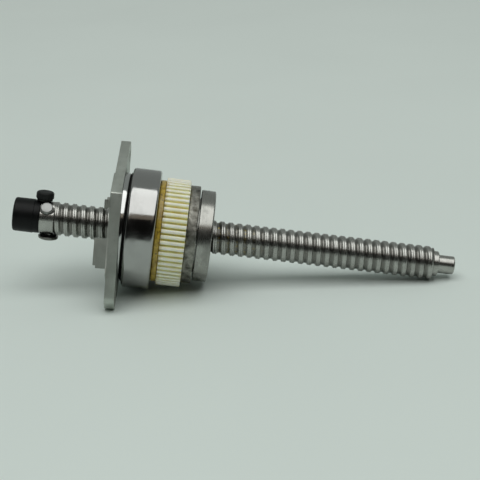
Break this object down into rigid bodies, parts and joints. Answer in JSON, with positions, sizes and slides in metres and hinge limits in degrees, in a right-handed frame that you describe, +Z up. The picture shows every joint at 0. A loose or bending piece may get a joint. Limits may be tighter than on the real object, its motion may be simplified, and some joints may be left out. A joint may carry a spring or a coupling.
{
  "type": "ball screw assembly",
  "caption": "Ball screw actuator: a gear-driven nut turning in a ball bearing slides a long screw; rhombic retainer plate, capped end with cross pin and guide shoe.",
  "frame": {"origin": "on the ground, under the middle of the object's box as it lies at rest on its bearing, the end of its thread and one ear of its plate", "axes": "+X from the capped end to the free journal end, +Z up; the screw's axis lies in the XZ plane, tipped 8.6 degrees down towards +X"},
  "size_m": [0.2034, 0.0672, 0.0619],
  "materials": {
    "plate_grey": "matte grey phosphated steel",
    "polished_steel": "polished",
    "bearing_steel": "ground and polished",
    "ring_steel": "turned, with handling marks",
    "cast_steel": "rough, dark, smudged",
    "screw_steel": "ground thread, lightly greased",
    "black_plastic": "satin black",
    "black_rubber": "matt black",
    "cream_plastic": "cream white, yellow in the tooth roots",
    "amber_plastic": "amber, greasy",
    "cage_brass": "pressed brass"
  },
  "bodies": {
    "housing_side": {"retainer_plate": "plate_grey", "spacer_ring": "polished_steel", "damper_ring": "black_rubber", "bearing_outer_ring": "bearing_steel", "bearing_seal_left": "black_rubber", "bearing_seal_right": "black_rubber"},
    "nut": {"ball_nut": "ring_steel", "bearing_inner_ring": "bearing_steel", "bearing_circlip": "ring_steel", "wiper_left": "black_rubber", "wiper_right": "black_rubber", "gear_hub": "amber_plastic", "drive_gear": "cream_plastic", "thrust_ring": "cast_steel", "end_ring": "ring_steel", "return_insert_1": "black_plastic", "return_insert_2": "black_plastic", "return_insert_3": "black_plastic", "ball_circuit_1": "bearing_steel", "ball_circuit_2": "bearing_steel", "ball_circuit_3": "bearing_steel"},
    "cage": {"bearing_cage": "cage_brass", "bearing_ball_01": "bearing_steel", "bearing_ball_02": "bearing_steel", "bearing_ball_03": "bearing_steel", "bearing_ball_04": "bearing_steel", "bearing_ball_05": "bearing_steel", "bearing_ball_06": "bearing_steel", "bearing_ball_07": "bearing_steel", "bearing_ball_08": "bearing_steel", "bearing_ball_09": "bearing_steel", "bearing_ball_10": "bearing_steel", "bearing_ball_11": "bearing_steel"},
    "screw": {"screw_shaft": "screw_steel", "end_cap": "black_plastic", "cross_pin": "polished_steel", "pin_washer": "black_rubber", "guide_shoe": "black_plastic", "locking_dowel": "polished_steel"}
  },
  "joints": [
    {"name": "nut_spin", "type": "hinge", "parent": "housing_side", "child": "nut", "pos_m": [-0.04924, 0, 0.02886], "axis": [0.9887, 0, -0.1498], "range_deg": [-1980, 8550]},
    {"name": "screw_slide", "type": "slide", "parent": "housing_side", "child": "screw", "axis": [0.9887, 0, -0.1498], "range_m": [-0.0955, 0.0225]},
    {"name": "cage_spin", "type": "hinge", "parent": "housing_side", "child": "cage", "pos_m": [-0.04924, 0, 0.02886], "axis": [0.9887, 0, -0.1498], "range_deg": [-830, 3560]}
  ],
  "couplings": [
    {"joint": "screw_slide", "follows": "nut_spin", "m_per_rad": -0.00063662},
    {"joint": "cage_spin", "follows": "nut_spin", "ratio": 0.416}
  ]
}
